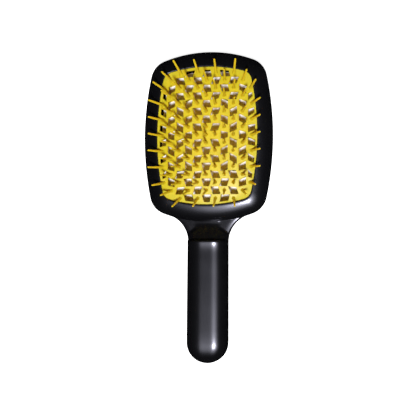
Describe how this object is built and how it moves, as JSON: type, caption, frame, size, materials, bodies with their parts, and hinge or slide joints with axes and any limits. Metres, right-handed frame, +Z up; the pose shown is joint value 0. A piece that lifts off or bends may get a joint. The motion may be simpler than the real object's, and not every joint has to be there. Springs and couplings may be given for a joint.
{
  "type": "hair brush",
  "caption": "Vented hair brush with a wide open head, a domed lattice that carries tapered pins, and a straight rounded handle with a flat top.",
  "frame": {"origin": "middle of the brush's length and width, on the plane that its flat back lies on", "axes": "+Y along the brush from the handle's end to the head's end; +Z up, the way the pins point; +X to the right with the head away from you and the pins up"},
  "size_m": [0.0866, 0.2072, 0.0337],
  "materials": {
    "black_shell": "satin black moulded plastic",
    "yellow_net": "flexible bright yellow nylon"
  },
  "bodies": {
    "root": {"rear_shell": "black_shell", "front_ring": "black_shell", "handle_cover": "black_shell", "pin_net": "yellow_net"}
  },
  "joints": []
}
